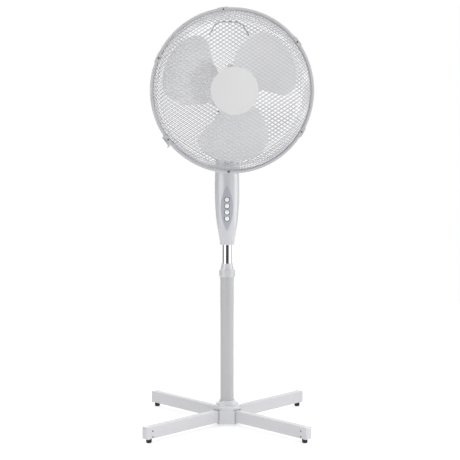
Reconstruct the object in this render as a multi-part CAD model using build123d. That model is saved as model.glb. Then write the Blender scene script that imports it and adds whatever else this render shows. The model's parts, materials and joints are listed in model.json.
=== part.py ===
from build123d import *
from math import acos, atan2, cos, degrees, exp, hypot, radians, sin, sqrt
import os

# Pedestal fan. Millimetres, +Z up, front towards -Y, origin on the floor under the pole.

# Base
FOOT_SPACING = 406.7  # between the centres of neighbouring feet
FOOT_REACH = FOOT_SPACING / sqrt(2)  # from the pole's axis
FOOT_R, FOOT_HEIGHT, FOOT_PEG_R = 7.4, 11.0, 2.9
LEG_WIDTH, LEG_HEIGHT, LEG_WALL = 20.0, 32.0, 1.2
LEG_START, CAP_LENGTH = 17.0, 12.0
CAP_SCREW_R, CAP_SCREW_LENGTH, CAP_SCREW_HEIGHTS = 0.9, 4.5, (16.2, 31.4)
CAP_SCREW_HEAD, CAP_SCREW_HEAD_THICK = 1.7, 0.9
CAP_SCREW_X = FOOT_REACH - 5.0
LEG_SCREW_R, LEG_SCREW_X = 2.1, 30.0
HUB_HALF, HUB_BOTTOM = 38.3, 6.0
COVER_TOP = 67.0

# Pole
OUTER_R, OUTER_WALL, OUTER_TOP = 18.5, 1.2, 404.0
INNER_R, INNER_WALL, INNER_BOTTOM, INNER_TOP = 12.7, 1.2, 185.0, 792.0
SLIP = 0.1  # radial play between the two poles
POLE_SCREW_Z = 90.0
COLLAR_R, COLLAR_BOTTOM, COLLAR_TOP, COLLAR_RIBS = 22.0, 409.0, 446.0, 24

# Control housing: (height, half width) down its outline
HOUSING_OUTLINE = [
    (497, 19.2), (514, 21.6), (536, 25.5), (557, 28.7), (579, 30.9), (600, 32.6),
    (622, 33.6), (649, 33.85), (676, 33.4), (700, 32.4), (740, 30.0), (780, 26.8), (804, 24.5),
]
HOUSING_DEPTH_RATIO, HOUSING_WALL = 0.9, 2.4
PANEL_BOTTOM, PANEL_WIDEST, PANEL_TOP, PANEL_HALF = 536.6, 607.0, 659.8, 16.45
BUTTON_R, BUTTON_TRAVEL, BUTTON_PROUD = 6.15, 4.0, 4.6
BUTTON_TOP_Z, BUTTON_PITCH, BUTTON_COUNT = 621.9, 17.25, 4
BLOCK_FRONT = 19.0  # distance of the switch block's front face from the pole's axis

# Tilt joint and swivel
TILT_Z, EAR_R, EAR_IN, EAR_OUT, TONGUE_HALF = 826.0, 12.0, 11.0, 17.0, 10.7
TILT_PIN_R, KNOB_R = 4.0, 14.0
NECK_R, NECK_TOP = 13.0, 853.0
SWIVEL_R, RUNNING_PLAY = 8.0, 0.05
HEAD_YAW = 7.03  # the head's turn at rest, about +Z

# Oscillation crank and link, seen from above in the head's own frame
CRANK_X, CRANK_Y = 17.5, 36.0
CRANK_THROW, LINK_LENGTH, LINK_PIVOT_X = 12.83, 36.08, 20.0
CRANK_R, CRANK_Z, PINION_R, GEAR_GAP = 15.4, 858.0, 4.9, 0.4
LINK_Z, LINK_THICK, LINK_PLAY = 846.5, 3.0, 2.6
WHEEL_R, WORM_R, WHEEL_TEETH, PINION_TEETH, CRANK_TEETH = 12.0, 5.2, 30, 10, 32
GEAR_THICK, GEAR_SHAFT_R, CRANK_PIN_R, KNOB_STEM_R, PLATE_Z = 5.0, 2.5, 2.0, 4.3, 866.5

# Fan head: radii about the fan's axis, and distances forward of the pole's axis
AXIS_Z = 913.1
CASING_R, CASING_WALL, CASING_BACK, CASING_SPLIT, CASING_FRONT = 48.0, 2.2, -98.0, -10.0, 48.0
SHAFT_R, SHAFT_BACK, SHAFT_FRONT = 4.0, -66.0, 116.8
RING_R, RING_PLANE, RIM_DEPTH, RIM_INNER = 215.0, 120.3, 8.0, 206.0
DISC_R, DISC_FACE, DISC_DOME = 62.35, 166.0, 2.5
MESH_THICK = 2.0
FRONT_MESH, FRONT_BEND = [(62.5, 162.6), (190.0, 155.0), (205.9, 125.0)], 34.0
REAR_MESH, REAR_BEND = [(55.1, 50.8), (184.0, 58.0), (205.9, 114.5)], 42.0
PLATE_R = 55.0  # rear guard's mounting plate
CLIP_ANGLES, CLIP_SPAN = (36.8, 96.8, 156.5, -30.5), 7.0
LATCH_ANGLE, SCREW_ANGLE, DISC_SCREW_ANGLE = -143.4, -93.0, -128.4
RIVET_R, RIVET_X = 1.0, 210.5  # the clips' rivets and the ring screw stand on the middle of the rim
LATCH_PIVOT_R, LATCH_PIVOT_T = 219.0, -10.5  # outwards and along the rim from the clip's middle
HANDLE_WIRE_R = 1.8
HANDLE_HALF = [(52, 147, 50), (38, 173, 38), (22, 182, 30)]  # one side: across, up, forward

# Fan blade: each side's outline as (radius, angle) about the axis
BLADE_COUNT, BLADE_THICK, BLADE_MIDDLE = 3, 2.2, 90.0
BLADE_ROOT_RISE, BLADE_TIP_RISE, BLADE_BOW = 27.0, 12.5, 4.0
BLADE_OUTLINE = [
    (29, 10), (50, 4), (84, 1), (116, -3), (148, -4.8), (169, 1.7), (182, 15), (186, 36),
    (180, 57), (169, 64.2), (148, 71.2), (116, 79), (84, 84.8), (50, 88), (29, 84),
]
BLADE_HUB_R, BLADE_HUB_BACK, BLADE_HUB_FRONT = 31.0, 66.0, 106.0

os.makedirs("parts", exist_ok=True)


def save(name, shape):
    shape.label = name
    export_step(shape, f"parts/{name}.step")


def rod(radius, low, high, x=0.0, y=0.0):
    return Pos(x, y, (low + high) / 2) * Cylinder(radius, high - low)


def tube(inner, outer, low, high, x=0.0, y=0.0):
    return rod(outer, low, high, x, y) - rod(inner, low - 1, high + 1, x, y)


def block(x, y, z):
    centre = [(low + high) / 2 for low, high in (x, y, z)]
    size = [high - low for low, high in (x, y, z)]
    return Pos(*centre) * Box(*size)


def turned(points):
    """A solid of revolution about Z from (radius, height) points."""
    outline = Polyline(*points, close=True)
    return revolve(Plane.XZ * make_face(outline), Axis.Z)


def dome(points, bend, thickness):
    """A skin of revolution from a flat inner part, round one bend, to a steep side."""
    high = FilletPolyline(*points, radius=bend)
    low = high.moved(Location((0, -thickness, 0)))
    outline = Curve() + [high, low, Line(high @ 0, low @ 0), Line(high @ 1, low @ 1)]
    return revolve(Plane.XZ * make_face(outline), Axis.Z)


def group(shapes):
    return Compound(children=list(shapes))


def on_x(shape, z):
    """A shape made along +Z, laid along +X at height z."""
    return Pos(0, 0, z) * Rot(0, 90, 0) * shape


YAW = Rot(0, 0, HEAD_YAW)
HEAD = YAW * Pos(0, 0, AXIS_Z) * Rot(90, 0, 0)  # +Z of a head piece points out of the front


def polar(radius, angle, height=0.0):
    return (radius * cos(radians(angle)), radius * sin(radians(angle)), height)


def cap_screws(side, radius, head):
    """The two screws through one side of a leg into its end cap, with their heads outside."""
    screw = rod(radius, -CAP_SCREW_LENGTH, 0) + rod(head, 0, CAP_SCREW_HEAD_THICK)
    face = side * (LEG_WIDTH / 2 + 0.05)
    return [Pos(CAP_SCREW_X, face, z) * Rot(-90 * side, 0, 0) * screw for z in CAP_SCREW_HEIGHTS]


def drilled(shape, side, radius):
    """The shape with holes for the cap screws."""
    for hole in cap_screws(side, radius, radius):
        shape -= hole
    return shape


def legs_and_feet():
    end, top, half = FOOT_REACH + 4.4, FOOT_HEIGHT + LEG_HEIGHT, LEG_WIDTH / 2
    hollow = (-half + LEG_WALL, half - LEG_WALL), (FOOT_HEIGHT + LEG_WALL, top - LEG_WALL)
    floor = FOOT_HEIGHT - 1, FOOT_HEIGHT + LEG_WALL + 1
    leg = block((LEG_START, end), (-half, half), (FOOT_HEIGHT, top))
    leg = fillet(leg.edges().filter_by(Axis.X), 2.0) - block((LEG_START - 1, end + 1), *hollow)
    leg -= rod(FOOT_PEG_R + 0.1, *floor, FOOT_REACH) + rod(LEG_SCREW_R + 0.1, *floor, LEG_SCREW_X)

    flange = block((end, end + CAP_LENGTH), (-half - 0.4, half + 0.4), (FOOT_HEIGHT, top + 0.4))
    cap = fillet(flange.edges().group_by(Axis.X)[-1], 5.0) + block((FOOT_REACH - 16, end), *hollow)
    cap -= rod(FOOT_PEG_R + 0.1, FOOT_HEIGHT, FOOT_HEIGHT + 9, FOOT_REACH)

    foot = rod(FOOT_R - 0.9, 0, 2, FOOT_REACH) + rod(FOOT_R, 2, FOOT_HEIGHT, FOOT_REACH)
    foot += rod(FOOT_PEG_R, FOOT_HEIGHT, FOOT_HEIGHT + 7, FOOT_REACH)
    screw = rod(2 * LEG_SCREW_R, HUB_BOTTOM - 2.6, HUB_BOTTOM, LEG_SCREW_X)
    screw += rod(LEG_SCREW_R, HUB_BOTTOM, FOOT_HEIGHT + 5, LEG_SCREW_X)

    # each leg's direction and the side with its cap screws, ahead on the front legs and behind on the rear
    corners = {
        "front_right": (-45, -1),
        "front_left": (-135, 1),
        "rear_left": (135, -1),
        "rear_right": (45, 1),
    }
    caps, feet, screws = [], [], []
    for corner, (angle, side) in corners.items():
        turn = Rot(0, 0, angle)
        save(f"leg_{corner}", turn * drilled(leg, side, CAP_SCREW_R + 0.1))
        caps.append(turn * drilled(cap, side, CAP_SCREW_R + 0.02))
        feet.append(turn * foot)
        screws += [turn * piece for piece in (screw, *cap_screws(side, CAP_SCREW_R, CAP_SCREW_HEAD))]
    save("leg_end_caps", group(caps))
    save("rubber_feet", group(feet))
    save("leg_screws", group(screws))


def hub():
    top = FOOT_HEIGHT + LEG_HEIGHT
    body = block((-HUB_HALF, HUB_HALF), (-HUB_HALF, HUB_HALF), (HUB_BOTTOM, top + 1))
    body = fillet(body.edges().group_by(Axis.Z)[0], 2.0)
    for angle in (45, 135, 225, 315):
        half = LEG_WIDTH / 2 + 0.2
        socket = block((LEG_START - 0.2, 80), (-half, half), (FOOT_HEIGHT, 60))
        mouth = block((38, 80), (-12.0, 12.0), (0, 60))
        hole = rod(LEG_SCREW_R + 0.1, 0, FOOT_HEIGHT + 1, LEG_SCREW_X)
        body -= Rot(0, 0, angle) * (socket + mouth + hole)
    post = rod(OUTER_R - OUTER_WALL - SLIP, top + 1, 112)
    bore = rod(13.9, top - 12, 113) + rod(8, 0, top)
    save("base_hub", body + post - bore - pole_screw_hole())


def pole_screw_hole():
    return Pos(0, OUTER_R, POLE_SCREW_Z) * Rot(90, 0, 0) * Cylinder(2.1, 12)


def pole_parts():
    wall = OUTER_R - OUTER_WALL
    bottom = FOOT_HEIGHT + LEG_HEIGHT + 1
    save("outer_pole", tube(wall, OUTER_R, bottom, OUTER_TOP) - pole_screw_hole())
    save("inner_pole", tube(INNER_R - INNER_WALL, INNER_R, INNER_BOTTOM, INNER_TOP))
    bore = INNER_R + SLIP
    bush = tube(bore, wall - 0.05, 345, OUTER_TOP) + tube(bore, wall + 0.6, OUTER_TOP, 427)
    bush += tube(bore, OUTER_R + 0.9, OUTER_TOP, 405.5)
    bush += turned([(bore, 427), (wall - 1.0, 427), (wall - 2.6, 436), (bore, 436)])
    for angle in (0, 45, 90, 135):
        bush -= Rot(0, 0, angle) * block((-30, 30), (-0.6, 0.6), (416, 437))
    save("pole_bush", bush)
    inner = INNER_R + 0.5
    collar = turned([
        (wall + 1.0, COLLAR_BOTTOM), (COLLAR_R - 1, COLLAR_BOTTOM), (COLLAR_R, COLLAR_BOTTOM + 1),
        (COLLAR_R, 427), (COLLAR_R - 1, 428), (17.6, 429), (17.2, 432), (15.3, 443), (15.0, COLLAR_TOP),
        (inner, COLLAR_TOP), (inner, 441), (wall - 1.2, 438), (wall + 1.0, 428.5),
    ])
    for i in range(COLLAR_RIBS):
        angle = 360 / COLLAR_RIBS * i
        collar -= rod(0.9, COLLAR_BOTTOM + 2, 426, *polar(COLLAR_R + 0.3, angle)[:2])
    save("height_collar", collar)
    cover = turned([
        (39.0, 44.0), (39.0, 50.5), (37.0, 54.0), (31.0, 55.5), (30.0, 61.0), (23.0, 63.0),
        (21.5, COVER_TOP), (OUTER_R + 0.1, COVER_TOP), (OUTER_R + 0.1, 61.0), (28.0, 59.0),
        (29.0, 53.0), (36.5, 51.5), (37.0, 44.0),
    ])
    save("base_cover", cover)
    screw = Pos(0, OUTER_R + 1.0, POLE_SCREW_Z) * Rot(90, 0, 0) * Cylinder(3.6, 2.0)
    screw += Pos(0, OUTER_R - 2.5, POLE_SCREW_Z) * Rot(90, 0, 0) * Cylinder(2.0, 5.0)
    save("pole_screw", screw)


def housing_solid(grow):
    sections = []
    for z, half in HOUSING_OUTLINE:
        sections.append(Plane.XY.offset(z) * Ellipse(half + grow, half * HOUSING_DEPTH_RATIO + grow))
    return loft(sections)


def depth_at(z):
    """The housing's half depth at a height, along straight lines between its outline's points."""
    for (z0, half0), (z1, half1) in zip(HOUSING_OUTLINE, HOUSING_OUTLINE[1:]):
        if z0 <= z <= z1:
            return HOUSING_DEPTH_RATIO * (half0 + (half1 - half0) * (z - z0) / (z1 - z0))


def button_heights():
    return [BUTTON_TOP_Z - BUTTON_PITCH * i for i in range(BUTTON_COUNT)]


def at_button(z):
    """Places a piece made along +Z so that it points out of the panel at height z."""
    return Pos(0, 0, z) * Rot(90, 0, 0)


def panel_prism(grow):
    low, high, half = PANEL_BOTTOM - grow, PANEL_TOP + grow, PANEL_HALF + grow
    right = ThreePointArc((0, low), (half, PANEL_WIDEST), (0, high))
    left = ThreePointArc((0, high), (-half, PANEL_WIDEST), (0, low))
    return extrude(Plane.XZ * make_face(Curve() + [right, left]), amount=60)


def control_housing():
    outer, inner = housing_solid(0), housing_solid(-HOUSING_WALL)
    shell = outer - inner
    shell += block((-21, 21), (-19, 19), (500, 503)) & inner
    shell += block((-40, 40), (-40, 40), (801.6, 804)) & inner
    shell -= rod(INNER_R + 0.1, 490, 510) + rod(16.2, 795, 810)
    front = shell & block((-60, 60), (-60, -0.01), (480, 820))
    rear = shell & block((-60, 60), (0.01, 60), (480, 820))
    front -= panel_prism(0.05)
    inlet_z = 545
    inlet = Pos(0, depth_at(inlet_z), inlet_z) * Rot(-90, 0, 0)
    rear -= inlet * Cylinder(5.1, 14)
    screw_heights = (560, 640, 720, 775)
    screws = []
    for z in screw_heights:
        spot = Pos(18, depth_at(z) * 0.66, z) * Rot(-90, 0, 0)
        rear -= spot * Cylinder(3.4, 12)
        screws.append(spot * (Cylinder(3.2, 3) + Pos(0, 0, -6) * Cylinder(1.5, 10)))
    save("control_housing_front", front)
    save("control_housing_rear", rear)
    save("housing_screws", group(screws))
    grommet = inlet * (Cylinder(5.0, 6) + Pos(0, 0, 3.5) * Cylinder(7.0, 2) - Cylinder(3.2, 20))
    save("cord_inlet_grommet", grommet)


def controls():
    plate = (housing_solid(0.5) - housing_solid(-1.6)) & panel_prism(0)
    low, high = button_heights()[-1] - 9, button_heights()[0] + 9
    switch = block((-11, 11), (-BLOCK_FRONT, -INNER_R - 0.3), (low, high))
    springs = []
    for i, z in enumerate(button_heights()):
        face = depth_at(z) + BUTTON_PROUD
        back = BLOCK_FRONT + BUTTON_TRAVEL + 0.6
        plate -= at_button(z) * rod(BUTTON_R + 0.35, 0, 60)
        switch -= at_button(z) * rod(2.4, INNER_R, BLOCK_FRONT + 1)
        button = fillet(rod(BUTTON_R, back, face).edges().group_by(Axis.Z)[-1], 2.6)
        button += rod(2.1, BLOCK_FRONT - 1.2, back)
        save(f"button_{i + 1}", at_button(z) * button)
        coil = Helix(pitch=1.3, height=BUTTON_TRAVEL - 0.4, radius=3.6)
        wire = Plane(origin=coil @ 0, z_dir=coil % 0) * Circle(0.3)
        spring = sweep(wire, path=coil, is_frenet=True)
        springs.append(at_button(z) * Pos(0, 0, BLOCK_FRONT + 0.45) * spring)
    save("control_panel", plate)
    save("switch_block", switch)
    save("button_springs", group(springs))


def tilt_joint():
    sleeve = tube(INNER_R + 0.05, 16.0, 760, 806) + rod(16.0, INNER_TOP + 0.2, 806)
    sleeve += rod(20.5, 804.2, 807.5)
    ears = Part()
    for side in (-1, 1):
        x = sorted((side * EAR_IN, side * EAR_OUT))
        ears += block(x, (-EAR_R, EAR_R), (806, TILT_Z))
        ears += on_x(rod(EAR_R, *x), TILT_Z)
    pin_bore = on_x(rod(TILT_PIN_R + 0.02, -40, 40), TILT_Z)
    save("tilt_base", sleeve + ears - pin_bore)
    head = on_x(rod(7.0, -EAR_OUT - 4, -EAR_OUT), TILT_Z)
    save("tilt_pin", head + on_x(rod(TILT_PIN_R, -EAR_OUT, EAR_OUT + 14), TILT_Z))
    knob = rod(9.0, EAR_OUT + 0.4, EAR_OUT + 6) + rod(KNOB_R, EAR_OUT + 5, EAR_OUT + 20)
    knob = fillet(knob.edges().group_by(Axis.Z)[-1], 2.5)
    for i in range(8):
        knob -= rod(3.0, EAR_OUT + 4.9, EAR_OUT + 21, *polar(KNOB_R + 1.4, 45 * i)[:2])
    knob -= rod(TILT_PIN_R + 0.05, EAR_OUT - 1, EAR_OUT + 14.2)
    save("tilt_knob", on_x(knob, TILT_Z))

    top_gap = EAR_R + 0.8
    neck = on_x(rod(EAR_R, -TONGUE_HALF, TONGUE_HALF), TILT_Z)
    neck += block((-TONGUE_HALF, TONGUE_HALF), (-7, 7), (TILT_Z, TILT_Z + top_gap + 1))
    neck += rod(NECK_R, TILT_Z + top_gap, NECK_TOP)
    neck += block((NECK_R - 3, LINK_PIVOT_X), (-5, 5), (841.5, 846))
    neck += rod(5.0, 841.5, 846, LINK_PIVOT_X) + rod(GEAR_SHAFT_R, 846, 851.5, LINK_PIVOT_X)
    neck -= rod(SWIVEL_R, 841, NECK_TOP + 1) + on_x(rod(TILT_PIN_R + RUNNING_PLAY, -40, 40), TILT_Z)
    save("neck", neck)
    casing = Pos(0, 0, AXIS_Z) * Rot(90, 0, 0) * Cylinder(CASING_R + 0.02, 90)
    saddle = block((-13, 13), (-30, 9), (NECK_TOP + 0.4, AXIS_Z - CASING_R + 6)) - casing
    save("swivel_bracket", YAW * (saddle + rod(SWIVEL_R - RUNNING_PLAY, 842, NECK_TOP + 1)))


def motor_casing():
    wall, r = CASING_WALL, CASING_R
    front = turned([
        (r, CASING_SPLIT), (r, 38), (r - 4, CASING_FRONT), (26.5, CASING_FRONT), (26.5, 64),
        (23.5, 64), (23.5, CASING_FRONT), (5.2, CASING_FRONT), (5.2, 43), (10.02, 43), (10.02, 33),
        (13, 33), (13, 45.8), (r - 5, 45.8), (r - wall, 37), (r - wall, CASING_SPLIT),
    ])
    save("motor_front_casing", HEAD * front)

    rear = turned([
        (r, CASING_SPLIT), (r, -62), (r - 3, -80), (r - 11, -92), (24, CASING_BACK),
        (0, CASING_BACK - 1), (0, CASING_BACK + 1.2), (23, CASING_BACK + wall), (r - 12.5, -90),
        (r - 5.2, -79), (r - wall, -61.5), (r - wall, CASING_SPLIT),
    ])
    for i in range(10):
        slit = block((16, 38), (-1.3, 1.3), (-110, -84))
        rear -= Rot(0, 0, 36 * i + 18) * slit
    for i in range(-2, 3):
        rear -= Pos(0, 0, -36 + 9 * i) * block((-60, 60), (-14, 14), (-1.4, 1.4))
    inside = Pos(0, 0, AXIS_Z) * Rot(90, 0, 0) * Cylinder(r - wall, 200)
    pocket = block((-6, 42), (16, 68.5), (AXIS_Z - 48.6, AXIS_Z - 24)) - inside
    room = block((-4, 40), (18, 66.5), (AXIS_Z - 60, AXIS_Z - 26))
    stem_hole = rod(KNOB_STEM_R + 0.4, AXIS_Z + 17, AXIS_Z + 77, CRANK_X, wheel_y())
    save("motor_rear_cover", HEAD * rear + YAW * (pocket - room) - YAW * (room + stem_hole))


def wheel_y():
    """The worm wheel's place behind the crank, a gear gap apart."""
    return CRANK_Y + CRANK_R + PINION_R + GEAR_GAP


def motor():
    stator = tube(22.6, 42, -15, 15)
    for i in range(16):
        stator -= Rot(0, 0, 22.5 * i) * block((21, 36), (-1.4, 1.4), (-20, 20))
    save("stator", HEAD * stator)
    coils = []
    for low, high in ((15.2, 27), (-27, -15.2)):
        ring = fillet(tube(25, 38, low, high).edges(), 2.5)
        for i in range(4):
            ring -= Rot(0, 0, 90 * i) * block((0, 60), (-1.5, 1.5), (-40, 40))
        coils += [HEAD * solid for solid in ring.solids()]
    save("windings", group(coils))
    save("rotor_core", HEAD * tube(SHAFT_R, 22, -15, 15))
    shaft = rod(SHAFT_R, SHAFT_BACK, SHAFT_FRONT)
    worm_middle = -wheel_y()
    for i in range(-3, 4):
        shaft += rod(WORM_R, worm_middle + 2.4 * i - 0.7, worm_middle + 2.4 * i + 0.7)
    save("motor_shaft", HEAD * shaft)
    save("front_bearing", HEAD * tube(SHAFT_R + RUNNING_PLAY, 10, 34, 43))
    save("rear_bearing", HEAD * tube(SHAFT_R + RUNNING_PLAY, 10, -37, -28))
    bracket = tube(10.02, 15, -37, -28) + tube(14, CASING_R - CASING_WALL - 0.1, -31, -28)
    for i in range(6):
        bracket -= Rot(0, 0, 60 * i + 30) * rod(6.5, -40, -20, 30)
    bracket -= block((-1, 36), (-60, -32), (-40, -20))
    save("rear_bracket", HEAD * bracket)
    save("capacitor", YAW * Pos(-26, 48, AXIS_Z) * fillet(Box(14, 22, 30).edges(), 1.5))


def notches(count, radius, size, heights):
    """Shallow round notches about a gear's edge."""
    low, high = heights
    cuts = Part()
    for i in range(count):
        cuts += rod(size, low - 1, high + 1, *polar(radius, 360 / count * i)[:2])
    return cuts


def oscillation():
    back = wheel_y()
    plate = block((-2, 36), (31.2, back + 9), (PLATE_Z, PLATE_Z + 4))
    plate += rod(6, PLATE_Z, 880, CRANK_X, CRANK_Y) + rod(6, PLATE_Z, 886, CRANK_X, back)
    for along in (CRANK_Y, back):
        plate -= rod(GEAR_SHAFT_R + RUNNING_PLAY, 860, 890, CRANK_X, along)
    save("gearbox_housing", YAW * plate)

    gear = CRANK_Z, CRANK_Z + GEAR_THICK
    wheel = rod(WHEEL_R, AXIS_Z - 4, AXIS_Z + 4) + rod(GEAR_SHAFT_R, CRANK_Z - 1, 926)
    wheel += rod(PINION_R, *gear)
    wheel -= notches(WHEEL_TEETH, WHEEL_R, 0.55, (0, 990)) + notches(PINION_TEETH, PINION_R, 0.7, gear)
    save("worm_wheel", YAW * Pos(CRANK_X, back, 0) * wheel)

    crank = rod(CRANK_R, *gear) + rod(GEAR_SHAFT_R, CRANK_Z + GEAR_THICK, 879)
    crank -= notches(CRANK_TEETH, CRANK_R, 0.7, gear)
    angle, (pin_x, pin_y) = crank_at_rest()
    crank += rod(CRANK_PIN_R, LINK_Z - 1, CRANK_Z, CRANK_THROW)
    save("crank_disc", YAW * Pos(CRANK_X, CRANK_Y, 0) * Rot(0, 0, angle) * crank)

    pin = Vector(pin_x, pin_y).rotate(Axis.Z, HEAD_YAW) - Vector(LINK_PIVOT_X, 0)
    lean = degrees(atan2(pin.Y, pin.X))
    high = LINK_Z + LINK_THICK
    link = block((0, LINK_LENGTH), (-3.2, 3.2), (LINK_Z, high))
    link += rod(5.2, LINK_Z, high) + rod(7.0, LINK_Z, high, LINK_LENGTH)
    link -= rod(GEAR_SHAFT_R + RUNNING_PLAY, LINK_Z - 1, high + 1)
    link -= rod(CRANK_PIN_R + LINK_PLAY, LINK_Z - 1, high + 1, LINK_LENGTH)
    save("link_rod", Pos(LINK_PIVOT_X, 0, 0) * Rot(0, 0, lean) * link)

    knob = rod(KNOB_STEM_R, 927, 972) - rod(GEAR_SHAFT_R + 0.3, 920, 965)
    knob += fillet(rod(9.5, 970, 985).edges().group_by(Axis.Z)[-1], 2.5)
    save("oscillation_knob", YAW * Pos(CRANK_X, back, 0) * knob)


def crank_at_rest():
    """The crank's angle and its pin's place, where the link's two ends meet at rest."""
    pivot_x = LINK_PIVOT_X * cos(radians(HEAD_YAW))
    pivot_y = -LINK_PIVOT_X * sin(radians(HEAD_YAW))
    across, along = pivot_x - CRANK_X, pivot_y - CRANK_Y
    reach = hypot(across, along)
    bend = degrees(acos((reach**2 + CRANK_THROW**2 - LINK_LENGTH**2) / (2 * reach * CRANK_THROW)))
    angle = degrees(atan2(along, across)) + bend
    pin = polar(CRANK_THROW, angle)
    return angle, (CRANK_X + pin[0], CRANK_Y + pin[1])


def guards():
    save("front_guard_mesh", HEAD * dome(FRONT_MESH, FRONT_BEND, MESH_THICK))
    save("rear_guard_mesh", HEAD * dome(REAR_MESH, REAR_BEND, MESH_THICK))
    save("guard_centre_disc", HEAD * centre_disc(DISC_FACE - DISC_DOME))
    front_low = RING_PLANE + 0.2
    save("front_guard_rim", HEAD * rim(front_low, front_low + RIM_DEPTH))
    save("rear_guard_rim", HEAD * rim(RING_PLANE - 0.2 - RIM_DEPTH, RING_PLANE - 0.2))
    plate = tube(26.8, PLATE_R, CASING_FRONT + 0.3, CASING_FRONT + 2.8)
    for i in range(8):
        plate -= rod(3.5, 40, 60, *polar(46, 45 * i)[:2])
    save("rear_guard_plate", HEAD * plate)
    nut = tube(26.6, 36, CASING_FRONT + 3, CASING_FRONT + 11)
    for i in range(12):
        nut -= Rot(0, 0, 30 * i) * rod(2.4, 40, 70, 37)
    save("grille_nut", HEAD * nut)

    low, high = RING_PLANE - RIM_DEPTH - 1.6, RING_PLANE + RIM_DEPTH + 1.6
    clip_outline = Plane.XZ * Pos(RIM_INNER + 5.4, (low + high) / 2) * Rectangle(10.0, high - low)
    room = Plane.XZ * Pos((RIM_INNER + RING_R) / 2, RING_PLANE) * Rectangle(9.3, 2 * RIM_DEPTH + 0.8)
    clip = revolve(clip_outline - room, Axis.Z, revolution_arc=CLIP_SPAN)
    clip = Rot(0, 0, -CLIP_SPAN / 2) * clip - rod(RIVET_R + 0.1, high - 2, high + 1, RIVET_X)
    clips = [HEAD * Rot(0, 0, angle) * clip for angle in CLIP_ANGLES]
    rivet = rod(RIVET_R, high - 1.1, high + 0.1, RIVET_X)
    rivet += rod(2 * RIVET_R, high + 0.05, high + 1.3, RIVET_X)
    save("clip_rivets", group(HEAD * Rot(0, 0, a) * rivet for a in (*CLIP_ANGLES, LATCH_ANGLE)))

    outside = RING_R + 1.4
    pin = rod(1.2, low + 1, high - 1, LATCH_PIVOT_R, LATCH_PIVOT_T)
    catch = clip + pin
    for side in (low + 1, high - 4):
        along = (LATCH_PIVOT_T - 2, LATCH_PIVOT_T + 2)
        catch += block((outside - 0.4, outside + 4), along, (side, side + 3))
    clips.append(HEAD * Rot(0, 0, LATCH_ANGLE) * catch)
    save("guard_clips", group(clips))
    across = (low + 4.4, high - 4.4)
    lever = block((outside + 0.4, outside + 3.4), (LATCH_PIVOT_T, 17), across)
    lever += block((outside + 0.4, outside + 7.4), (14, 17), across)
    lever += rod(1.6, *across, LATCH_PIVOT_R, LATCH_PIVOT_T)
    lever -= rod(1.2 + RUNNING_PLAY, 0, 200, LATCH_PIVOT_R, LATCH_PIVOT_T)
    save("guard_latch", HEAD * Rot(0, 0, LATCH_ANGLE) * lever)
    bolt = rod(2.6, RING_PLANE + RIM_DEPTH + 0.3, RING_PLANE + RIM_DEPTH + 2.6, RIVET_X)
    save("ring_screw", HEAD * Rot(0, 0, SCREW_ANGLE) * bolt)
    stop = rod(1.9, FRONT_MESH[0][1], FRONT_MESH[0][1] + 1.6, DISC_R + 4.4)
    save("disc_screw", HEAD * Rot(0, 0, DISC_SCREW_ANGLE) * stop)

    side = [Vector(*p) for p in HANDLE_HALF]
    mirrored = [Vector(-p.X, p.Y, p.Z) for p in reversed(side)]
    path = FilletPolyline(*(side + mirrored), radius=7.0)
    wire = Plane(origin=path @ 0, z_dir=path % 0) * Circle(HANDLE_WIRE_R)
    save("carry_handle", HEAD * sweep(wire, path=path))


def centre_disc(low):
    lip, inner = DISC_R - 1.5, DISC_R - 3.85
    outline = Curve() + [
        ThreePointArc((0, DISC_FACE), (DISC_R * 0.55, low + DISC_DOME * 0.72), (lip, low)),
        Polyline((lip, low), (DISC_R, low - 1.5), (DISC_R, low - 3), (inner, low - 3), (inner, low - 2)),
        Polyline((inner, low - 2), (0, low - 1), (0, DISC_FACE)),
    ]
    return revolve(Plane.XZ * make_face(outline), Axis.Z)


def rim(low, high):
    section = Plane.XZ * Pos((RIM_INNER + RING_R) / 2, (low + high) / 2) * RectangleRounded(
        RING_R - RIM_INNER, high - low, 2.6
    )
    return revolve(section, Axis.Z)


def blade_height(radius, angle):
    """How far forward the blade's back face is: a rise with the angle, steeper towards the root."""
    turn = (angle - 41) / 46
    rise = BLADE_TIP_RISE + (BLADE_ROOT_RISE - BLADE_TIP_RISE) * exp((BLADE_HUB_R - radius) / 50)
    return BLADE_MIDDLE + rise * turn - BLADE_BOW * turn**2


def fan():
    radii = [20 + 35 * i for i in range(6)]
    angles = [-20 + 15 * i for i in range(9)]
    grid = [[Vector(*polar(r, a, blade_height(r, a))) for a in angles] for r in radii]
    sheet = Face.make_surface_from_array_of_points(grid)
    slab = extrude(sheet, amount=BLADE_THICK, dir=(0, 0, 1))
    outline = Spline(*(polar(r, a) for r, a in BLADE_OUTLINE), periodic=True)
    petal = slab & Pos(0, 0, 20) * extrude(make_face(outline), amount=120)
    r, front = BLADE_HUB_R, BLADE_HUB_FRONT
    hub_shell = turned([
        (r, BLADE_HUB_BACK), (r, front - 3), (r - 3, front), (SHAFT_R + 0.02, front),
        (SHAFT_R + 0.02, 74), (9, 74), (9, front - 2.4), (r - 3.2, front - 2.4),
        (r - 2.2, BLADE_HUB_BACK),
    ])
    hollow = rod(r - 1.2, 40, front - 1)
    blade = hub_shell
    for i in range(BLADE_COUNT):
        blade += Rot(0, 0, 360 / BLADE_COUNT * i) * (petal - hollow)
    save("fan_blade", HEAD * blade)
    nut = fillet(rod(15, front + 0.1, 121).edges().group_by(Axis.Z)[-1], 4)
    for i in range(10):
        nut -= rod(1.8, 100, 130, *polar(15.6, 36 * i)[:2])
    nut -= rod(SHAFT_R + 0.02, 100, 117)
    save("blade_nut", HEAD * nut)


legs_and_feet()
hub()
pole_parts()
control_housing()
controls()
tilt_joint()
motor_casing()
motor()
oscillation()
guards()
fan()
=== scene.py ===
import json
import math

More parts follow.
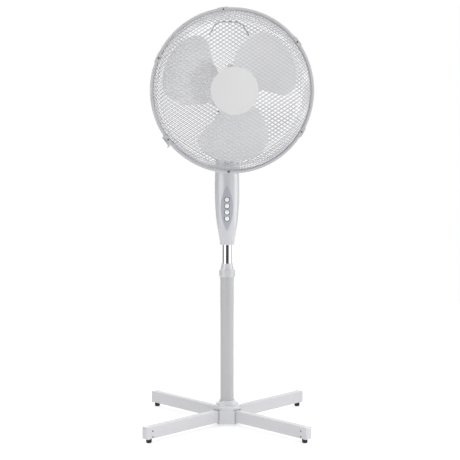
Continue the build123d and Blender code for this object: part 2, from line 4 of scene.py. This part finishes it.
import bpy
import numpy as np
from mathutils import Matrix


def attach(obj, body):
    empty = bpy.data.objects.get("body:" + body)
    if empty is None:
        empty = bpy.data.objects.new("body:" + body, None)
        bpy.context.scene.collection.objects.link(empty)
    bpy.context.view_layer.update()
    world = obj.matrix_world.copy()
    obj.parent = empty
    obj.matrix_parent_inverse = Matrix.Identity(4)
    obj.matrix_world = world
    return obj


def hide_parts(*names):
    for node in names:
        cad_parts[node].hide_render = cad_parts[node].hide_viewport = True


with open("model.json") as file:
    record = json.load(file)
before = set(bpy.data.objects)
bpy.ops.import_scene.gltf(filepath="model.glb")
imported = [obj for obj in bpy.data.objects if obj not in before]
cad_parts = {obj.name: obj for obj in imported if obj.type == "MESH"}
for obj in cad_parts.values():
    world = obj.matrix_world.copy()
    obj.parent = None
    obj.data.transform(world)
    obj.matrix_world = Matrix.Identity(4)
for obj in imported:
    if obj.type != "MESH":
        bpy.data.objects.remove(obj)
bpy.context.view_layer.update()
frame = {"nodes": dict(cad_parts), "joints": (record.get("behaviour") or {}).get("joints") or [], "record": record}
joints = {joint["name"]: joint for joint in frame["joints"]}
mm = 0.001
print("frame loaded:", len(frame["nodes"]), "parts")


def gridMesh(points, wrapRows=False, capFirst=False, capLast=False):
    # points[row, column] is a surface; columns close on themselves, each cell is one quad,
    # and a cap is a fan from the mean point of the first or last row
    rows, columns = points.shape[:2]
    verts = points.reshape(-1, 3)
    rowCount = rows if wrapRows else rows - 1
    row = np.arange(rowCount)[:, None]
    column = np.arange(columns)[None, :]
    nextRow, nextColumn = (row + 1) % rows, (column + 1) % columns
    quads = np.stack([
        row * columns + column, row * columns + nextColumn,
        nextRow * columns + nextColumn, nextRow * columns + column,
    ], axis=-1).reshape(-1, 4)
    fans = []
    for wanted, start, turn in ((capFirst, 0, 1), (capLast, (rows - 1) * columns, -1)):
        if wanted:
            ring = start + np.arange(columns)
            centre = np.full(columns, len(verts))
            verts = np.vstack([verts, points.reshape(-1, 3)[ring].mean(0)])
            fans.append(np.stack([centre, np.roll(ring, -turn), ring], axis=-1))
    return verts, quads, (np.vstack(fans) if fans else np.zeros((0, 3), int))


def joinMeshes(meshes):
    # several (verts, quads, tris) become one, each index moved up by the vertices before it
    counts = np.cumsum([0] + [len(m[0]) for m in meshes])
    verts = np.vstack([m[0] for m in meshes])
    quads = np.vstack([m[1] + counts[i] for i, m in enumerate(meshes)])
    tris = np.vstack([m[2] + counts[i] for i, m in enumerate(meshes)])
    return verts, quads, tris


def addPiece(name, mesh, material, body, replaced=(), smoothAngle=40):
    # puts arrays into a mesh with foreach_set, shades it smooth below smoothAngle, and hangs it on its body
    verts, quads, tris = mesh
    data = bpy.data.meshes.new(name)
    data.vertices.add(len(verts))
    data.vertices.foreach_set("co", np.ascontiguousarray(verts, np.float32).ravel())
    loops = np.concatenate([quads.ravel(), tris.ravel()]).astype(np.int32)
    sizes = np.concatenate([np.full(len(quads), 4), np.full(len(tris), 3)]).astype(np.int32)
    data.loops.add(len(loops))
    data.loops.foreach_set("vertex_index", loops)
    data.polygons.add(len(sizes))
    data.polygons.foreach_set("loop_start", (np.cumsum(sizes) - sizes).astype(np.int32))
    data.polygons.foreach_set("use_smooth", np.ones(len(sizes), bool))
    data.update(calc_edges=True)
    data.validate()
    data.set_sharp_from_angle(angle=math.radians(smoothAngle))
    data.materials.append(material)
    piece = bpy.data.objects.new(name, data)
    bpy.context.scene.collection.objects.link(piece)
    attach(piece, body)
    if replaced:
        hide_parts(*replaced)
    return piece


def lathe(profile, segments=96):
    # each (radius, height) of a closed profile goes round the Z axis: x = r cos a, y = r sin a
    profile = np.asarray(profile, float)
    angle = np.linspace(0, 2 * np.pi, segments, endpoint=False)
    radius, height = profile[:, 0][:, None], profile[:, 1][:, None]
    points = np.stack([
        radius * np.cos(angle), radius * np.sin(angle), height + 0 * angle,
    ], axis=-1)
    return gridMesh(points, wrapRows=True)


def rounded(corners, radii, steps=6):
    # each corner of a closed outline becomes a quarter-like arc: a quadratic curve between the
    # points one radius before and after it
    corners = np.asarray(corners, float)
    before, after = np.roll(corners, 1, axis=0), np.roll(corners, -1, axis=0)
    radii = np.broadcast_to(np.asarray(radii, float), len(corners))[:, None]
    toBefore, toAfter = before - corners, after - corners
    lengthBefore = np.linalg.norm(toBefore, axis=1, keepdims=True)
    lengthAfter = np.linalg.norm(toAfter, axis=1, keepdims=True)
    start = corners + toBefore / lengthBefore * np.minimum(radii, lengthBefore * 0.49)
    end = corners + toAfter / lengthAfter * np.minimum(radii, lengthAfter * 0.49)
    t = np.linspace(0, 1, steps)[None, :, None]
    curve = (1 - t) ** 2 * start[:, None] + 2 * t * (1 - t) * corners[:, None] + t**2 * end[:, None]
    return curve.reshape(-1, 2)


def tubes(paths, radius, sides=6):
    # paths[wire, point] each carry a circle: across by cos, less upward by sin, both square to the path
    tangent = np.gradient(paths, axis=1)
    tangent /= np.linalg.norm(tangent, axis=2, keepdims=True)
    helper = np.zeros_like(tangent)
    helper[..., 2] = 1.0
    across = np.cross(tangent, helper)
    across /= np.linalg.norm(across, axis=2, keepdims=True)
    upward = np.cross(across, tangent)
    angle = np.linspace(0, 2 * np.pi, sides, endpoint=False)[None, None, :, None]
    ring = paths[:, :, None] + radius * (
        np.cos(angle) * across[:, :, None] - np.sin(angle) * upward[:, :, None]
    )
    return joinMeshes([gridMesh(wire, capFirst=True, capLast=True) for wire in ring])


def curveThrough(x, knotsX, knotsY):
    # a smooth curve through the knots: cubic pieces whose slopes are the mean of their neighbours'
    knotsX, knotsY = np.asarray(knotsX, float), np.asarray(knotsY, float)
    slope = np.gradient(knotsY, knotsX)
    i = np.clip(np.searchsorted(knotsX, x) - 1, 0, len(knotsX) - 2)
    width = knotsX[i + 1] - knotsX[i]
    t = (x - knotsX[i]) / width
    return (
        (2 * t**3 - 3 * t**2 + 1) * knotsY[i] + (t**3 - 2 * t**2 + t) * width * slope[i]
        + (-2 * t**3 + 3 * t**2) * knotsY[i + 1] + (t**3 - t**2) * width * slope[i + 1]
    )


# the head's own axes at rest, from the shaft's joint
shaft = joints["rotor_spin"]
yaw = math.atan2(shaft["axis"][0], -shaft["axis"][1])
axisHeight = shaft["pos_m"][2]


def onHead(mesh):
    # right, up and forward of the fan's axis become x, y and z: (x, -forward, up), turned by the yaw
    verts, quads, tris = mesh
    x, y, z = verts[:, 0], -verts[:, 2], verts[:, 1] + axisHeight
    turned = np.stack([
        x * math.cos(yaw) - y * math.sin(yaw), x * math.sin(yaw) + y * math.cos(yaw), z,
    ], axis=1)
    return turned, quads, tris


def newMaterial(name, colour, roughness, metallic=0.0):
    # a plain shader, ready for the finish that follows
    material = bpy.data.materials.new(name)
    material.use_nodes = True
    shader = material.node_tree.nodes["Principled BSDF"]
    shader.inputs["Base Color"].default_value = (*colour, 1)
    shader.inputs["Roughness"].default_value = roughness
    shader.inputs["Metallic"].default_value = metallic
    return material, material.node_tree, shader


def objectNoise(tree, scale, detail=4, stretch=(1, 1, 1)):
    # noise read at the piece's own place, stretched along an axis where the finish has a direction
    where = tree.nodes.new("ShaderNodeTexCoord")
    mapping = tree.nodes.new("ShaderNodeMapping")
    mapping.inputs["Scale"].default_value = stretch
    noise = tree.nodes.new("ShaderNodeTexNoise")
    noise.inputs["Scale"].default_value = scale
    noise.inputs["Detail"].default_value = detail
    tree.links.new(where.outputs["Object"], mapping.inputs["Vector"])
    tree.links.new(mapping.outputs["Vector"], noise.inputs["Vector"])
    return noise


def varyColour(tree, shader, noise, dark, light):
    # the noise's middle part runs from the dark colour to the light one
    ramp = tree.nodes.new("ShaderNodeValToRGB")
    ramp.color_ramp.elements[0].position = 0.3
    ramp.color_ramp.elements[1].position = 0.7
    ramp.color_ramp.elements[0].color = (*dark, 1)
    ramp.color_ramp.elements[1].color = (*light, 1)
    tree.links.new(noise.outputs["Fac"], ramp.inputs["Fac"])
    tree.links.new(ramp.outputs["Color"], shader.inputs["Base Color"])


def varyRoughness(tree, shader, noise, low, high):
    # the noise from 0 to 1 becomes a gloss between low and high
    span = tree.nodes.new("ShaderNodeMapRange")
    span.inputs["To Min"].default_value = low
    span.inputs["To Max"].default_value = high
    tree.links.new(noise.outputs["Fac"], span.inputs["Value"])
    tree.links.new(span.outputs["Result"], shader.inputs["Roughness"])


def addBump(tree, shader, noise, depth, strength=0.5):
    # the noise is a height, depth metres from lowest to highest
    bump = tree.nodes.new("ShaderNodeBump")
    bump.inputs["Strength"].default_value = strength
    bump.inputs["Distance"].default_value = depth
    tree.links.new(noise.outputs["Fac"], bump.inputs["Height"])
    tree.links.new(bump.outputs["Normal"], shader.inputs["Normal"])


def mouldedPlastic(name, colour, roughness=0.3, grain=900, depth=0.00003, coat=0.0, glow=0.0):
    # moulded plastic: a hardly seen cloudiness, uneven gloss and a fine skin; a thin one lets light through
    material, tree, shader = newMaterial(name, colour, roughness)
    cloud = objectNoise(tree, 14, 3)
    varyColour(tree, shader, cloud, [c * 0.985 for c in colour], [min(c * 1.015, 1) for c in colour])
    varyRoughness(tree, shader, objectNoise(tree, 60, 5), roughness * 0.9, roughness * 1.15)
    addBump(tree, shader, objectNoise(tree, grain, 2), depth, 0.4)
    shader.inputs["Coat Weight"].default_value = coat
    shader.inputs["Coat Roughness"].default_value = 0.12
    shader.inputs["Subsurface Weight"].default_value = glow
    shader.inputs["Subsurface Radius"].default_value = (1, 1, 1)
    shader.inputs["Subsurface Scale"].default_value = 0.006
    return material


def paintedSteel(name, colour):
    # powder coat: orange peel a few millimetres across under an even satin gloss
    material, tree, shader = newMaterial(name, colour, 0.35)
    cloud = objectNoise(tree, 22, 4)
    varyColour(tree, shader, cloud, [c * 0.98 for c in colour], [c * 1.015 for c in colour])
    varyRoughness(tree, shader, objectNoise(tree, 120, 4), 0.3, 0.42)
    addBump(tree, shader, objectNoise(tree, 420, 3), 0.00006, 0.5)
    return material


def chromePlate(name):
    # bright plating with faint streaks along the tube
    material, tree, shader = newMaterial(name, (0.78, 0.78, 0.80), 0.06, 1.0)
    varyRoughness(tree, shader, objectNoise(tree, 90, 4, (1, 1, 0.15)), 0.04, 0.12)
    return material


def rubber(name):
    # dull black with a fine pitted skin
    material, tree, shader = newMaterial(name, (0.012, 0.012, 0.012), 0.75)
    varyRoughness(tree, shader, objectNoise(tree, 200, 4), 0.6, 0.8)
    addBump(tree, shader, objectNoise(tree, 1400, 3), 0.00008, 0.6)
    return material


def machinedMetal(name, colour, roughness, stretch=(1, 1, 8)):
    # bare metal with tool marks that run across the stretched axis
    material, tree, shader = newMaterial(name, colour, roughness, 1.0)
    scratches = objectNoise(tree, 300, 5, stretch)
    varyRoughness(tree, shader, scratches, roughness * 0.7, roughness * 1.4)
    addBump(tree, shader, scratches, 0.00002, 0.4)
    return material


def windingWire(name):
    # enamelled wire: fine bands side by side
    material, tree, shader = newMaterial(name, (0.62, 0.25, 0.08), 0.3, 0.9)
    where = tree.nodes.new("ShaderNodeTexCoord")
    wave = tree.nodes.new("ShaderNodeTexWave")
    wave.inputs["Scale"].default_value = 420
    wave.inputs["Distortion"].default_value = 1.2
    tree.links.new(where.outputs["Object"], wave.inputs["Vector"])
    addBump(tree, shader, wave, 0.0003, 0.8)
    return material


finish = {
    "white_plastic": mouldedPlastic("white_housing_plastic", (0.49, 0.495, 0.515), 0.22, coat=0.7),
    "white_steel": paintedSteel("white_powder_coat", (0.5, 0.5, 0.52)),
    # the pole's powder coat and the rims' coat are darker copies of the leg coat and the guard wire coat: painted
    # shade
    "pole_coat": paintedSteel("pole_powder_coat", (0.4, 0.4, 0.41)),
    "rim_coat": mouldedPlastic("coated_rim_wire", (0.47, 0.47, 0.49), 0.33, grain=700),
    "chrome": chromePlate("chrome_plate"),
    "grey_panel": mouldedPlastic("grey_control_panel", (0.345, 0.36, 0.4), 0.42, grain=1600, depth=0.00005),
    "button_plastic": mouldedPlastic("white_button_plastic", (0.76, 0.76, 0.77), 0.2, coat=0.4),
    "black_rubber": rubber("black_foot_rubber"),
    "guard_wire": mouldedPlastic("coated_guard_wire", (0.52, 0.52, 0.54), 0.35, grain=700),
    # the rear guard's wire coat is a darker copy of the front's: painted shade for the rear mesh lying in shadow
    # behind the blades
    "rear_wire": mouldedPlastic("coated_rear_guard_wire", (0.42, 0.42, 0.445), 0.35, grain=700),
    "blade_plastic": mouldedPlastic("white_blade_plastic", (0.76, 0.76, 0.775), 0.38, glow=0.3),
    "disc_plastic": mouldedPlastic("white_disc_plastic", (0.585, 0.585, 0.59), 0.36),
    "plain_steel": machinedMetal("zinc_plated_steel", (0.58, 0.58, 0.6), 0.3),
    "lamination_steel": machinedMetal("stacked_laminations", (0.3, 0.3, 0.32), 0.45, (1, 30, 1)),
    "copper": windingWire("enamelled_copper"),
    "die_cast": machinedMetal("die_cast_alloy", (0.6, 0.61, 0.63), 0.45, (1, 1, 1)),
    "nylon": mouldedPlastic("grey_nylon", (0.5, 0.5, 0.5), 0.4),
    "black_screw": paintedSteel("blackened_screws", (0.03, 0.03, 0.032)),
    "dark_wire": paintedSteel("dark_handle_wire", (0.33, 0.33, 0.34)),
    "black_plastic": mouldedPlastic("black_switch_plastic", (0.03, 0.03, 0.033), 0.4),
}
shadedCoatOf = {  # pieces given a darker coat than their slot's, painted shade: the pole, the guard rims, and the clips and latch that take the rims' coat
    "outer_pole": "pole_coat", "front_guard_rim": "rim_coat", "rear_guard_rim": "rim_coat",
    "guard_clips": "rim_coat", "guard_latch": "rim_coat",
}
slotOf = {part["node"]: part["material_slot"] for part in frame["record"]["subparts"]}
for node, piece in frame["nodes"].items():
    piece.data.materials.clear()
    piece.data.materials.append(finish[shadedCoatOf.get(node, slotOf[node])])
print("materials ready:", len(finish))


# wire size, the two families' slopes, and each guard's section as (radius, forward) corners with its pitch
guardMesh = {
    "wire": 1.45, "slopes": (33, -32), "steps": 60, "sides": 6,
    "layer": 0.8,  # each family of wires lies this far from the middle of the mesh
    "margin": 1.5,  # no wire runs nearer the rim's edge than this
    "arcSteps": 60,
}
frontDome = {
    "corners": ((60.8, 161.7), (190.0, 154.0), (207.0, 122.0)), "bend": 34.0,
    "spacing": 8.7, "shifts": (0.0, 0.0),
}
rearDome = {
    "corners": ((55.2, 49.8), (184.0, 57.0), (207.0, 116.4)), "bend": 42.0,
    "spacing": 8.8, "shifts": (-0.27, -0.1),
}


def domeSection(dome):
    # straight from the inner edge, an arc that touches both lines at the middle corner, straight to the
    # rim; returned with the length run along it, so that a flat sheet can be laid over it
    first, corner, last = (np.array(c, float) for c in dome["corners"])
    inward = (first - corner) / np.linalg.norm(first - corner)
    outward = (last - corner) / np.linalg.norm(last - corner)
    half = math.acos(inward @ outward) / 2
    reach = dome["bend"] / math.tan(half)
    middle = corner + (inward + outward) / np.linalg.norm(inward + outward) * dome["bend"] / math.sin(half)
    start, end = corner + inward * reach - middle, corner + outward * reach - middle
    t = np.linspace(0, 1, guardMesh["arcSteps"])[:, None]
    turn = math.pi - 2 * half
    arc = middle + (np.sin((1 - t) * turn) * start + np.sin(t * turn) * end) / math.sin(turn)
    line = np.vstack([first, arc, last])
    run = np.concatenate([[0], np.cumsum(np.linalg.norm(np.diff(line, axis=0), axis=1))])
    return run + first[0], line


def domePoint(flatRadius, dome):
    # the flat radius is the length along the section, looked up as a radius and a distance forward
    run, line = domeSection(dome)
    return np.interp(flatRadius, run, line[:, 0]), np.interp(flatRadius, run, line[:, 1])


def meshWires(dome, slope, lift, shift=0.0):
    # straight parallel lines on the flat sheet, cut by the inner and outer circles, then each
    # point goes to its place on the dome at the same angle about the axis
    run = domeSection(dome)[0]
    inner, outer = run[0], run[-1]
    spacing = dome["spacing"]
    count = int(outer / spacing)
    offset = (np.arange(-count, count + 1) + shift) * spacing
    offset = offset[np.abs(offset) < outer - guardMesh["margin"]]
    far = np.sqrt(outer**2 - offset**2)
    near = np.sqrt(np.clip(inner**2 - offset**2, 0, None))
    t = np.linspace(0, 1, guardMesh["steps"])[None, :]
    halves = []
    for side in (-1, 1):
        crossing = np.abs(offset) < inner
        along = side * (near[crossing, None] + (far - near)[crossing, None] * t)
        halves.append((offset[crossing, None] + 0 * along, along))
    whole = np.abs(offset) >= inner
    along = far[whole, None] * (2 * t - 1)
    halves.append((offset[whole, None] + 0 * along, along))
    paths = []
    for d, s in halves:
        angle = math.radians(slope)
        x = s * math.cos(angle) - d * math.sin(angle)
        y = s * math.sin(angle) + d * math.cos(angle)
        radius, forward = domePoint(np.hypot(x, y), dome)
        turn = np.arctan2(y, x)
        paths.append(np.stack([radius * np.cos(turn), radius * np.sin(turn), forward + lift], axis=-1))
    return [tubes(p * mm, guardMesh["wire"] / 2 * mm, guardMesh["sides"]) for p in paths]


# the rear guard's wires take the darker copy of the wire coat, painted shade
for name, dome, side, coat in (
    ("front_guard", frontDome, 1, finish["guard_wire"]), ("rear_guard", rearDome, -1, finish["rear_wire"]),
):
    for family, slope in zip("ab", guardMesh["slopes"]):
        lift = guardMesh["layer"] * side * (1 if family == "a" else -1)
        shift = dome["shifts"]["ab".index(family)]
        wires = joinMeshes(meshWires(dome, slope, lift, shift))
        replaced = (name + "_mesh",) if family == "a" else ()
        addPiece(f"{name}_wires_{family}", onHead(wires), coat, "head", replaced)
print("guard wires woven")


bladeShape = {
    "count": 3, "root": 29.0, "tip": 186.0, "rows": 44, "across": 28, "thickness": 2.4,
    "leadingAt": (29, 50, 84, 116, 148, 169, 182, 186), "leading": (10, 4, 1, -3, -4.8, 1.7, 15, 36),
    "trailingAt": (29, 50, 84, 116, 148, 169, 180, 186), "trailing": (84, 88, 84.8, 79, 71.2, 64.2, 57, 36),
    "middle": 90.0, "rootRise": 27.0, "tipRise": 12.5, "fadeFrom": 31.0, "fade": 50.0, "bow": 4.0,
    "turnFrom": 41.0, "turnSpan": 46.0, "edgeRound": 0.35, "tipTaper": 14.0,
    "hub": ((31, 66), (31, 106), (4.2, 106), (4.2, 74), (9, 74), (9, 103.4), (28.6, 103.4), (28.6, 66)),
    "hubRound": 1.2,
}


def petal(shape):
    # rows go out along the radius, close together at the tip; each row is a loop underneath and back
    # over the top, between the leading and the trailing angle; the height is the middle, plus rise times
    # turn, less bow times turn squared, where turn is the angle past turnFrom in turnSpans, and rise
    # fades from root to tip
    s = np.linspace(0, 1, shape["rows"])
    radius = shape["root"] + (shape["tip"] - shape["root"]) * np.sin(s * np.pi / 2)
    place = np.arcsin(np.clip((radius - shape["root"]) / (shape["tip"] - shape["root"]), 0, 1))

    def edge(at, angles):
        knots = np.arcsin((np.array(at) - shape["root"]) / (shape["tip"] - shape["root"]))
        return curveThrough(place, knots, angles)

    first = edge(shape["leadingAt"], shape["leading"])[:, None]
    last = edge(shape["trailingAt"], shape["trailing"])[:, None]
    loop = np.linspace(0, 2 * np.pi, 2 * shape["across"], endpoint=False)[None, :]
    across = (1 - np.cos(loop)) / 2
    angle = first + (last - first) * across
    side = -np.sign(np.sin(loop)) * np.abs(np.sin(loop)) ** shape["edgeRound"]
    turn = (angle - shape["turnFrom"]) / shape["turnSpan"]
    steep = np.exp((shape["fadeFrom"] - radius[:, None]) / shape["fade"])
    rise = shape["tipRise"] + (shape["rootRise"] - shape["tipRise"]) * steep
    middle = shape["middle"] + rise * turn - shape["bow"] * turn**2 + shape["thickness"] / 2
    tipThin = np.clip((1 - s[:, None]) * shape["tipTaper"], 0, 1) ** 0.5
    height = middle + side * tipThin * shape["thickness"] / 2
    around = np.radians(angle)
    r = radius[:, None] + 0 * angle
    points = np.stack([r * np.cos(around), r * np.sin(around), height], axis=-1) * mm
    return points


def bladePiece(shape):
    # the petal is turned to each of its places about the axis, and the hub is a rounded ring
    points = petal(shape)
    meshes = []
    for i in range(shape["count"]):
        turn = 2 * np.pi * i / shape["count"]
        x, y, z = points[..., 0], points[..., 1], points[..., 2]
        turned = np.stack([
            x * math.cos(turn) - y * math.sin(turn), x * math.sin(turn) + y * math.cos(turn), z,
        ], axis=-1)
        meshes.append(gridMesh(turned, capFirst=True, capLast=True))
    meshes.append(lathe(rounded(shape["hub"], shape["hubRound"]) * mm))
    return onHead(joinMeshes(meshes))


addPiece(
    "fan_blade_moulding", bladePiece(bladeShape), finish["blade_plastic"], "rotor",
    ("fan_blade",),
)
print("blade moulded")


# ring size, how far a button stands out of the panel, and how far the ring is sunk in it; the black ring is
# painted shade round each button
buttonShadeRing = {
    "count": 4, "radius": 6.95, "thick": 0.75, "sides": 12, "segments": 64, "proud": 4.6, "sunk": 0.1,
}


def shadeRings(shape):
    # a thin black ring round each button, lying on the panel, painted shade for the dark gap and shadow round the
    # button: a circle carried round the button's middle, (radius + thick cos b) from it and thick sin b forward,
    # where the button's face is proud of the panel
    b = np.linspace(0, 2 * np.pi, shape["sides"], endpoint=False)
    profile = np.stack([shape["radius"] + shape["thick"] * np.cos(b), shape["thick"] * np.sin(b)], axis=1)
    meshes = []
    for i in range(shape["count"]):
        corners = np.array(frame["nodes"][f"button_{i + 1}"].bound_box)
        low, high = corners.min(0), corners.max(0)
        verts, quads, tris = lathe(profile * mm, shape["segments"])
        front = low[1] + (shape["proud"] + shape["sunk"]) * mm
        middle = (low + high) / 2
        placed = np.stack([verts[:, 0] + middle[0], front - verts[:, 2], verts[:, 1] + middle[2]], axis=1)
        meshes.append((placed, quads, tris))
    return joinMeshes(meshes)


# the rings are painted shade, dark plastic standing for the shadow round each button
addPiece("button_seals", shadeRings(buttonShadeRing), finish["black_plastic"], "mast")
print("button shade rings laid")


studio = {
    "floorTone": 0.4, "floorGlow": 0.62, "floorHalf": 2.0,
    # each light's place, target, size and power
    "keyRight": ((1.9, -2.24, 0.6), (0, 0, 1.2), (0.6, 0.6), 24),
    "topSoft": ((0.3, -0.8, 3.0), (0, 0, 0.5), (1.6, 1.2), 4),
    # the room's brightness by direction, in degrees to the right of the camera's side
    "panels": (
        (-180, 1.5), (-152, 1.5), (-148, 0.3), (-78, 0.3), (-71, 2.6), (-36, 2.6), (-24, 0.04), (24, 0.04),
        (30, 0.5), (65, 0.6), (71, 2.8), (100, 2.8), (110, 0.45), (160, 0.45), (166, 1.5), (180, 1.5),
    ),
    "above": 1.35, "below": 0.3, "seen": 1.0,
    "screenEdge": (0.5, 0.72),  # the screens fade out between these heights on a ball of radius 1
    "cameraPlace": (0.00816, -3.5869, 0.9141), "cameraPitch": 6.01, "cameraLens": 103.76,
}


def stageFloor():
    # a square of floor under the fan, pale enough to meet the room without an edge
    half = studio["floorHalf"]
    corners = [(-half, -half, 0), (half, -half, 0), (half, half, 0), (-half, half, 0)]
    data = bpy.data.meshes.new("studio_floor")
    data.from_pydata(corners, [], [(0, 1, 2, 3)])
    material, tree, shader = newMaterial("pale_floor", (studio["floorTone"],) * 3, 0.8)
    varyRoughness(tree, shader, objectNoise(tree, 3, 2), 0.75, 0.85)
    shader.inputs["Emission Color"].default_value = (1, 1, 1, 1)
    shader.inputs["Emission Strength"].default_value = studio["floorGlow"]
    data.materials.append(material)
    floor = bpy.data.objects.new("studio_floor", data)
    bpy.context.scene.collection.objects.link(floor)


def softLight(name, place, target, size, power):
    # a soft box that looks from its place to its target: tilted by the angle from straight down, then
    # turned to face away from where it stands
    light = bpy.data.lights.new(name, "AREA")
    light.shape = "RECTANGLE"
    light.size, light.size_y = size
    light.energy = power
    lamp = bpy.data.objects.new(name, light)
    bpy.context.scene.collection.objects.link(lamp)
    lamp.location = place
    lamp.visible_glossy = False
    away = np.array(place, float) - np.array(target, float)
    lamp.rotation_euler = (
        math.acos(away[2] / np.linalg.norm(away)), 0, math.atan2(away[0], -away[1]),
    )


def blendValues(tree, factor, first, second):
    # first where the factor is 0, the number second where it is 1
    blend = tree.nodes.new("ShaderNodeMix")
    blend.data_type = "FLOAT"
    tree.links.new(factor, blend.inputs["Factor"])
    tree.links.new(first, blend.inputs["A"])
    blend.inputs["B"].default_value = second
    return blend.outputs["Result"]


def roomLight():
    # screens stand round the object: the direction's angle, atan2(x, -y), picks the brightness, and
    # high and low directions blend to an even one; the room itself is plain white where it is seen
    world = bpy.data.worlds.new("studio_world")
    world.use_nodes = True
    tree = world.node_tree
    where = tree.nodes.new("ShaderNodeTexCoord")
    parts = tree.nodes.new("ShaderNodeSeparateXYZ")
    tree.links.new(where.outputs["Generated"], parts.inputs["Vector"])
    forward = tree.nodes.new("ShaderNodeMath")
    forward.operation = "MULTIPLY"
    forward.inputs[1].default_value = -1
    tree.links.new(parts.outputs["Y"], forward.inputs[0])
    around = tree.nodes.new("ShaderNodeMath")
    around.operation = "ARCTAN2"
    tree.links.new(parts.outputs["X"], around.inputs[0])
    tree.links.new(forward.outputs["Value"], around.inputs[1])
    share = tree.nodes.new("ShaderNodeMapRange")
    share.inputs["From Min"].default_value = -math.pi
    share.inputs["From Max"].default_value = math.pi
    tree.links.new(around.outputs["Value"], share.inputs["Value"])
    screens = tree.nodes.new("ShaderNodeValToRGB")
    stops = screens.color_ramp.elements
    brightest = max(bright for degrees, bright in studio["panels"])
    for i, (degrees, bright) in enumerate(studio["panels"]):
        stop = stops[i] if i < 2 else stops.new(1.0)
        stop.position = (degrees + 180) / 360
        stop.color = (*[bright / brightest] * 3, 1)
    tree.links.new(share.outputs["Result"], screens.inputs["Fac"])
    level = tree.nodes.new("ShaderNodeMath")
    level.operation = "MULTIPLY"
    level.inputs[1].default_value = brightest
    tree.links.new(screens.outputs["Color"], level.inputs[0])
    shade = level.outputs["Value"]
    for way, name in ((1, "above"), (-1, "below")):
        reach = tree.nodes.new("ShaderNodeMapRange")
        reach.interpolation_type = "SMOOTHSTEP"
        reach.inputs["From Min"].default_value = way * studio["screenEdge"][0]
        reach.inputs["From Max"].default_value = way * studio["screenEdge"][1]
        tree.links.new(parts.outputs["Z"], reach.inputs["Value"])
        shade = blendValues(tree, reach.outputs["Result"], shade, studio[name])
    path = tree.nodes.new("ShaderNodeLightPath")
    shade = blendValues(tree, path.outputs["Is Camera Ray"], shade, studio["seen"])
    tree.nodes["Background"].inputs["Color"].default_value = (1, 1, 1, 1)
    tree.links.new(shade, tree.nodes["Background"].inputs["Strength"])
    bpy.context.scene.world = world


stageFloor()
roomLight()
softLight("key_right", *studio["keyRight"])
softLight("top_soft", *studio["topSoft"])
scene = bpy.context.scene
scene.view_settings.view_transform = "Standard"

lens = bpy.data.cameras.new("camera")
lens.lens = studio["cameraLens"]
lens.sensor_width = 36
camera = bpy.data.objects.new("camera", lens)
camera.location = studio["cameraPlace"]
camera.rotation_euler = (math.radians(90 - studio["cameraPitch"]), 0, 0)
scene.collection.objects.link(camera)
scene.camera = camera
print("studio lit")
